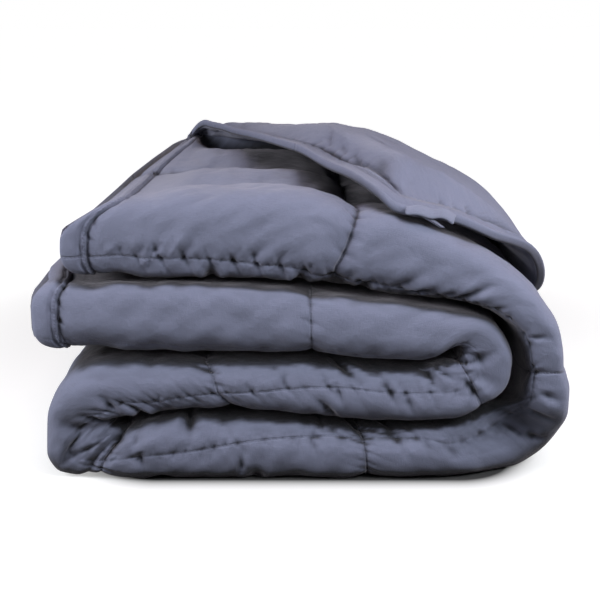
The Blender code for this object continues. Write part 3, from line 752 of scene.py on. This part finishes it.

# ------------------------------------------------------------------ the shade between the folds
# Little light gets in between the layers of dark cotton, and this shade is painted into the
# cloth's colour. How open each place lies to the room, from 0 deep in a gap to 1, is measured
# with rays that go out from the cloth.
OPEN_REACH = 0.15
RAYS = 14
GOLDEN_ANGLE = 2.399963
OFF_SKIN = 0.0012
# how much more the rays that rise count, with the floor stopping rays too, so that the painted shade falls
# as light from above leaves it: darker where the cloth faces down or lies low
FROM_ABOVE = 0.65
some_rows = np.unique(np.append(np.arange(0, rows, 3), rows - 1))
some_columns = np.append(np.arange(0, columns, 2), columns - 1)
some = points[np.ix_(some_rows, some_columns)]
index = np.arange(some[..., 0].size).reshape(some.shape[:2])
quads = np.stack([index[:-1, :-1], index[:-1, 1:], index[1:, 1:], index[1:, :-1]], -1)
skin = BVHTree.FromPolygons(some.reshape(-1, 3).tolist(), quads.reshape(-1, 4).tolist())
chance = np.random.default_rng(7)
tall = np.sqrt(chance.uniform(0.04, 1, RAYS))
turn = np.arange(RAYS) * GOLDEN_ANGLE
rays = np.stack([np.cos(turn) * np.sqrt(1 - tall**2), np.sin(turn) * np.sqrt(1 - tall**2), tall], -1)
way = outwards(points)[np.ix_(some_rows, some_columns)]
aside = np.cross(way, (0.3, 0.5, 0.8))
aside /= np.linalg.norm(aside, axis=-1, keepdims=True)
aims = np.einsum("kc,ijcd->ijkd", rays, np.stack([aside, np.cross(way, aside), way], -2))
found = np.ones(some.shape[:2])
in_sight = np.flatnonzero((some_columns < ends[3]) | ((some_columns >= ends[4]) & (some_columns < ends[6])))
for i in range(len(some_rows)):
    for j in in_sight:
        start = Vector(some[i, j] + way[i, j] * OFF_SKIN)
        met = [skin.ray_cast(start, Vector(aim), OPEN_REACH)[3] for aim in aims[i, j]]
        to_floor = start.z / np.maximum(-aims[i, j][:, 2], 1e-6)
        met = [OPEN_REACH * 1.7 if far is None else far for far in met]
        worth = 1 - FROM_ABOVE + FROM_ABOVE * aims[i, j][:, 2].clip(0)
        clear = (np.minimum(met, to_floor) / OPEN_REACH * 0.6).clip(None, 1)
        found[i, j] = np.average(clear, weights=worth)
lines = np.stack([np.interp(np.arange(rows), some_rows, line) for line in found.T])
openness = np.stack([np.interp(np.arange(columns), some_columns, line) for line in lines.T])
# painted shade also for creases and seams too fine for those rays, by how far they lie below
# the cloth around them
around = deep.copy()
for _ in range(2):
    for axis, reach in ((0, 4), (1, 5)):
        around = sum(np.roll(around, k, axis) for k in range(-reach, reach + 1)) / (2 * reach + 1)
SUNK_DEEP = 2.2
SUNK_SHADE = 0.26
sunk = ((deep - around) / (SUNK_DEEP * MM)).clip(0, 1.2)
openness *= 1 - SUNK_SHADE * sunk

# ------------------------------------------------------------------ the quilt
# The blanket itself: its outline at each place along the strip, joined into one closed skin,
# with its flat measure kept as two maps, in metres and in quilted squares.
bm = bmesh.new()
bmesh.ops.create_grid(bm, x_segments=rows - 1, y_segments=columns, size=0.5, calc_uvs=False)
quilt_mesh = bpy.data.meshes.new("quilt")
bm.to_mesh(quilt_mesh)
bm.free()
flat = np.empty(len(quilt_mesh.vertices) * 3)
quilt_mesh.vertices.foreach_get("co", flat)
row = np.rint((flat[0::3] + 0.5) * (rows - 1)).astype(int)
column = np.rint((flat[1::3] + 0.5) * columns).astype(int)
corner = np.empty(len(quilt_mesh.loops), int)
quilt_mesh.loops.foreach_get("vertex_index", corner)
squares_along = np.interp(length, [SEAM_IN, *STITCH_AT[1:-1], LONG - SEAM_IN], np.arange(len(STITCH_AT)))
squares_along += np.where(length < SEAM_IN, (length - SEAM_IN) / SQUARE, 0)
squares_along += np.where(length > LONG - SEAM_IN, (length - LONG + SEAM_IN) / SQUARE, 0)
squares_along[:, upper] = np.where(on_flap > 0, 0.5, squares_along[:, upper])
squares_across = across / SQUARE
far = np.abs(across) > 2 * SQUARE
last = tip - SEAM_IN - 2 * SQUARE
squares_across = np.where(far, np.sign(across) * (2 + (np.abs(across) - 2 * SQUARE) / last), squares_across)
from_hem = (long_hem[:, upper] - FLAP_SEAM_IN).clip(None, 0.09) / SQUARE
squares_across[:, upper] = np.where(on_flap > 0, 3 - from_hem, squares_across[:, upper])
for name, u, v in (("cloth", length, across), ("squares", squares_along, squares_across)):
    wrapped = np.concatenate([v, v[:, -1:] + v[:, 1:2] - v[:, :1]], axis=1)
    layer = quilt_mesh.uv_layers.new(name=name)
    pairs = np.stack([u[row, column % columns], wrapped[row, column]], -1)[corner]
    layer.uv.foreach_set("vector", pairs.ravel())
quilt_mesh.vertices.foreach_set("co", points[row, column % columns].ravel())
thread_seen = np.ones((rows, columns))
thread_seen[:, front] = np.interp(stations, MIDDLE_LINE[:, 0], MIDDLE_LINE[:, 3])[:, None]
for name, field in (("openness", openness), ("thread_seen", thread_seen), ("piping", piping)):
    layer = quilt_mesh.attributes.new(name, "FLOAT", "POINT")
    layer.data.foreach_set("value", field[row, column % columns])
bm = bmesh.new()
bm.from_mesh(quilt_mesh)
bm.verts.ensure_lookup_table()
joined = [bm.verts[i] for i in np.flatnonzero((column == 0) | (column == columns))]
bmesh.ops.remove_doubles(bm, verts=joined, dist=1e-7)
open_edges = [e for e in bm.edges if e.is_boundary]
caps = bmesh.ops.holes_fill(bm, edges=open_edges, sides=0)["faces"]
bmesh.ops.triangulate(bm, faces=caps)
bmesh.ops.recalc_face_normals(bm, faces=bm.faces)
for face in bm.faces:
    face.smooth = True
bm.to_mesh(quilt_mesh)
bm.free()
quilt = bpy.data.objects.new("quilt", quilt_mesh)
bpy.context.scene.collection.objects.link(quilt)
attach(quilt, "root")
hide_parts("blanket")


class Yarn:
    """A socket of a material's nodes; sums on it add the nodes that work them out."""

    def __init__(self, tree, socket=None):
        self.tree, self.socket = tree, socket

    def node(self, kind, settings=(), values=(), output=0):
        """Add a node of this type, with its settings, and then its sockets' values or links."""
        made = self.tree.nodes.new(kind)
        for name, setting in dict(settings).items():
            setattr(made, name, setting)
        for name, value in dict(values).items():
            if isinstance(value, Yarn):
                self.tree.links.new(value.socket, made.inputs[name])
            else:
                made.inputs[name].default_value = value
        return Yarn(self.tree, made.outputs[output])

    def math(self, operation, *others):
        values = {k + 1: other for k, other in enumerate(others)}
        return self.node("ShaderNodeMath", {"operation": operation}, {0: self, **values})

    def __add__(self, other):
        return self.math("ADD", other)

    def __mul__(self, other):
        return self.math("MULTIPLY", other)

    def __sub__(self, other):
        return self.math("SUBTRACT", other)

    def __rsub__(self, other):
        return self.node("ShaderNodeMath", {"operation": "SUBTRACT"}, {0: other, 1: self})

    def __truediv__(self, other):
        return self.math("DIVIDE", other)

    __radd__, __rmul__ = __add__, __mul__

    def within(self, low, high):
        """0 at low and 1 at high, with an even S between."""
        return self.node("ShaderNodeMapRange", {"interpolation_type": "SMOOTHSTEP"},
                         {"Value": self, "From Min": low, "From Max": high})


THREADS_APART = 0.0011
STITCH_LONG = 0.0034
SQUARE_LONG = 0.228
PALE_THREAD = (0.92, 0.86, 0.95, 1)


def cotton(name, base, stitched):
    """Brushed plain-weave cotton, with sewn lines where it is stitched in squares."""
    stuff = bpy.data.materials.new(name)
    stuff.use_nodes = True
    shader = stuff.node_tree.nodes["Principled BSDF"]
    start = Yarn(stuff.node_tree)
    cloth = start.node("ShaderNodeUVMap", {"uv_map": "cloth"})
    run, way = (start.node("ShaderNodeSeparateXYZ", {}, {0: cloth}, output=axis) for axis in "XY")
    # threads along and across, thicker here and thinner there
    warp = start.node("ShaderNodeMapping", {}, {"Vector": cloth, "Scale": (160, 1500, 1)})
    weft = start.node("ShaderNodeMapping", {}, {"Vector": cloth, "Scale": (1500, 160, 1)})
    slubs = sum(start.node("ShaderNodeTexNoise", {}, {"Vector": t, "Scale": 1.0, "Detail": 2.0})
                for t in (warp, weft))
    waves = 2 * np.pi / THREADS_APART
    weave = (run * waves).math("SINE") * (way * waves).math("SINE")
    rumple = start.node("ShaderNodeTexNoise", {}, {"Vector": cloth, "Scale": 95.0, "Detail": 4.0})
    patches = start.node("ShaderNodeTexNoise", {}, {"Vector": cloth, "Scale": 13.0, "Detail": 3.0})
    shade = 0.80 + 0.11 * slubs + 0.14 * patches + 0.04 * rumple
    if stitched:
        # painted shade: the cloth darkens where it lies shut in between folds and in fine creases
        openness = start.node("ShaderNodeAttribute", {"attribute_name": "openness"}, output="Fac")
        shade = shade * (0.03 + openness.within(0.32, 0.98))
        # a painted highlight along the raised line beside each hem's seam
        piping = start.node("ShaderNodeAttribute", {"attribute_name": "piping"}, output="Fac")
        shade = shade + 0.20 * piping
    height = 0.00006 * weave + 0.00028 * slubs + 0.0012 * rumple
    if stitched:
        squares = start.node("ShaderNodeUVMap", {"uv_map": "squares"})
        sewn = None
        for axis, size, other in (("X", SQUARE_LONG, way), ("Y", SQUARE, run)):
            place_in = start.node("ShaderNodeSeparateXYZ", {}, {0: squares}, output=axis)
            off = ((place_in + 0.5).math("FRACT") - 0.5).math("ABSOLUTE") * size
            stitch = (other * (1 / STITCH_LONG)).math("FRACT")
            dash = stitch.within(0.0, 0.12) * (1 - stitch.within(0.62, 0.78))
            line = 1 - off.within(0.0003, 0.0010)
            groove = 1 - off.within(0.0003, 0.0020)
            mark = (groove, line * dash)
            if axis == "Y":
                seen = start.node("ShaderNodeAttribute", {"attribute_name": "thread_seen"}, output="Fac")
                mark = tuple(part * seen for part in mark)
            sewn = mark if sewn is None else tuple(a.math("MAXIMUM", b) for a, b in zip(sewn, mark))
        # painted shade in the groove beside each line of stitches, and the thread paler in dashes
        shade = shade * (1 - 0.16 * sewn[0]) + 0.10 * sewn[1]
        height = height - 0.0009 * sewn[0] + 0.0005 * sewn[1]
    shader_base = start.node("ShaderNodeVectorMath", {"operation": "SCALE"}, {0: base, "Scale": shade})
    stuff.node_tree.links.new(shader_base.socket, shader.inputs["Base Color"])
    bump = start.node("ShaderNodeBump", {}, {"Height": height, "Strength": 1.0, "Distance": 1.0})
    stuff.node_tree.links.new(bump.socket, shader.inputs["Normal"])
    shader.inputs["Roughness"].default_value = 0.86
    shader.inputs["Specular IOR Level"].default_value = 0.25
    shader.inputs["Sheen Weight"].default_value = 0.22
    shader.inputs["Sheen Roughness"].default_value = 0.5
    shader.inputs["Sheen Tint"].default_value = PALE_THREAD
    return stuff


quilt_mesh.materials.append(cotton("slate_cotton", (0.150, 0.162, 0.235), stitched=True))

# ------------------------------------------------------------------ the tie loop
# A short loop of the same cotton, folded double and sewn on near the hem of the turned-back
# flap. It lies along the hem with its tip free, and ties the blanket into a cover.
LOOP_AT = 0.412
LOOP_LONG = 0.036
LOOP_WIDE = 0.0125
LOOP_THICK = 0.0026
# how round the loop's strand is across, how far past the hem's edge it lies, and how far from
# its sewn end the strand behind it starts
LOOP_CURL = 0.0056
LOOP_PAST = 0.0045
HANGS_AT = 0.020


def on_hem(s, beyond, height):
    """A place by the flap's hem, this far past its edge and above its upper face."""
    fold, hem_at, hem_back = (through(FLAP[:, 0], FLAP[:, k], s) for k in (1, 2, 3))
    span = np.hypot(fold - hem_back, hem_at - s)
    at, y, _, high = flap_at(s, 1 + np.minimum(beyond, 0) / span)
    past = np.maximum(beyond, 0)
    at = at + (hem_at - s) / span * past
    y = y + (hem_back - fold) / span * past
    return place(at, y, high - 0.35 * past + height)


bm = bmesh.new()
bm.loops.layers.uv.new("cloth")
strands = [bmesh.ops.create_grid(bm, x_segments=x, y_segments=y, size=0.5, calc_uvs=True)["verts"]
           for x, y in ((26, 10), (9, 5))]
# the strand that shows, curled down at both edges and tapering to its folded tip
spots = np.array([v.co[:2] for v in strands[0]])
free = spots[:, 0] + 0.5
slim = np.sqrt(1 - ((free - 0.62) / 0.38).clip(0, 1) ** 2 * 0.97) * (0.95 + 0.10 * free)
curl = LOOP_CURL * (0.5 - np.abs(2 * spots[:, 1]) ** 2.2)
wave = 0.0012 * np.sin(free * 11) - 0.0024 + 0.0034 * ease(free / 0.3)
beyond = spots[:, 1] * LOOP_WIDE * slim + LOOP_PAST + 0.0030 * free
placed = on_hem(LOOP_AT - free * LOOP_LONG, beyond, curl + wave)
for vert, spot in zip(strands[0], placed):
    vert.co = spot
# the strand behind it, which hangs from the hem by the sewn end
spots = np.array([v.co[:2] for v in strands[1]])
free = spots[:, 0] + 0.5
side = spots[:, 1] * 0.005 * (1 - 0.5 * free)
placed = on_hem(LOOP_AT - HANGS_AT + 0.014 * free + side, 0.0075 + 0.0015 * free - 0.3 * side,
                -0.003 - 0.0075 * free)
for vert, spot in zip(strands[1], placed):
    vert.co = spot
bmesh.ops.recalc_face_normals(bm, faces=bm.faces)
bmesh.ops.solidify(bm, geom=bm.faces[:], thickness=LOOP_THICK)
bmesh.ops.recalc_face_normals(bm, faces=bm.faces)
for face in bm.faces:
    face.smooth = True
loop_mesh = bpy.data.meshes.new("tie_tape")
bm.to_mesh(loop_mesh)
bm.free()
tape_map = np.empty(len(loop_mesh.loops) * 2)
loop_mesh.uv_layers[0].uv.foreach_get("vector", tape_map)
tape_map *= np.tile([LOOP_LONG, LOOP_WIDE], len(loop_mesh.loops))
loop_mesh.uv_layers[0].uv.foreach_set("vector", tape_map)
loop = bpy.data.objects.new("tie_tape", loop_mesh)
bpy.context.scene.collection.objects.link(loop)
finish = loop.modifiers.new("soft", "SUBSURF")
finish.levels = finish.render_levels = 1
# the tape's cotton has a paler base than the quilt's, painted light for the strand that catches the lamps
loop_mesh.materials.append(cotton("slate_tape", (0.176, 0.187, 0.262), stitched=False))
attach(loop, "root")
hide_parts("tie_loop")

# ------------------------------------------------------------------ the floor, camera and lights
# A pale studio floor that fills the view, a camera at the photograph's height, and five soft
# lamps: one above, one at the right, and three in front at the right, left and middle.
FLOOR_HALF = 60
PALE = (0.62, 0.62, 0.62, 1)
IN_SHADE = (0.05, 0.05, 0.05, 1)
bm = bmesh.new()
bmesh.ops.create_grid(bm, x_segments=1, y_segments=1, size=FLOOR_HALF)
floor_mesh = bpy.data.meshes.new("floor")
bm.to_mesh(floor_mesh)
bm.free()
floor = bpy.data.objects.new("floor", floor_mesh)
bpy.context.scene.collection.objects.link(floor)
floor.visible_diffuse = False
pale = bpy.data.materials.new("pale_floor")
pale.use_nodes = True
paint = pale.node_tree.nodes["Principled BSDF"]
paint.inputs["Roughness"].default_value = 1.0
paint.inputs["Specular IOR Level"].default_value = 0.0
paint.inputs["Emission Strength"].default_value = 1.0
plain = Yarn(pale.node_tree)
where = plain.node("ShaderNodeTexCoord", output="Object")
far_off = plain.node("ShaderNodeVectorMath", {"operation": "LENGTH"}, {0: where}, output="Value")
glow = 0.55 + 0.45 * far_off.within(0.35, 1.0)
# a painted shadow darkens it close to the blanket's outline, where little of the room's light gets
# in: beyond a rectangle, of this middle and half size each way, with rounded corners. The shadow
# dims the floor's glow and turns its colour towards IN_SHADE
FOOT = (("X", -0.012, 0.140), ("Y", 0.0, 0.226))
FOOT_ROUND = 0.055
SHADE_FADES = 0.017
beside = []
for axis, middle, size in FOOT:
    along_axis = plain.node("ShaderNodeSeparateXYZ", {}, {0: where}, output=axis)
    beside.append(((along_axis - middle).math("ABSOLUTE") - size).math("MAXIMUM", 0.0))
clear = ((beside[0] * beside[0] + beside[1] * beside[1]).math("SQRT") - FOOT_ROUND) / SHADE_FADES
shadow = (0.0 - clear.math("MAXIMUM", 0.0)).math("EXPONENT")
glow = glow * (1 - shadow)
paper = plain.node("ShaderNodeMix", {"data_type": "RGBA"}, {0: shadow, 6: PALE, 7: IN_SHADE}, output=2)
pale.node_tree.links.new(paper.socket, paint.inputs["Base Color"])
pale.node_tree.links.new(glow.socket, paint.inputs["Emission Color"])
floor_mesh.materials.append(pale)

lens = bpy.data.cameras.new("camera")
lens.lens = 68.7
camera = bpy.data.objects.new("camera", lens)
camera.location = (-0.0198, -1.2805, 0.4165)
camera.rotation_euler = (np.radians(76.3), 0, 0)
bpy.context.scene.collection.objects.link(camera)
bpy.context.scene.camera = camera
bpy.context.scene.view_settings.view_transform = "Standard"

# the backdrop is a narrow white band at the horizon, which adds little light of its own
studio = bpy.data.worlds.new("studio")
bpy.context.scene.world = studio
studio.use_nodes = True
sky = Yarn(studio.node_tree)
around = sky.node("ShaderNodeTexCoord", output=0)
height = sky.node("ShaderNodeSeparateXYZ", {}, {0: around}, output="Z")
glow = height.within(-0.06, -0.03) * (1 - height.within(0.04, 0.10))
backdrop = studio.node_tree.nodes["Background"]
studio.node_tree.links.new(glow.socket, backdrop.inputs["Color"])
backdrop.inputs["Strength"].default_value = 1.0


def lamp(name, colour, power, wide, at, towards):
    """A square soft lamp, aimed at a point."""
    light = bpy.data.lights.new(name, "AREA")
    light.color, light.energy, light.size = colour, power, wide
    stand = bpy.data.objects.new(name, light)
    stand.location = at
    stand.rotation_euler = (Vector(towards) - Vector(at)).to_track_quat("-Z", "Y").to_euler()
    bpy.context.scene.collection.objects.link(stand)


MID_STACK = (0, -0.2, 0.15)
UPPER_STACK = (0, -0.2, 0.20)
lamp("above", (1.0, 0.78, 0.78), 4, 0.5, (0, -0.52, 1.36), MID_STACK)
lamp("right_side", (1.0, 0.95, 0.98), 5, 0.5, (1.17, -0.2, 0.58), MID_STACK)
lamp("right_front", (0.93, 0.97, 1.0), 13, 0.4, (0.70, -0.88, 0.86), UPPER_STACK)
lamp("left_front", (0.95, 0.97, 1.0), 15, 0.5, (-1.12, -0.62, 0.60), MID_STACK)
lamp("front", (0.94, 0.95, 1.0), 2, 0.5, (0, -1.20, 0.80), UPPER_STACK)
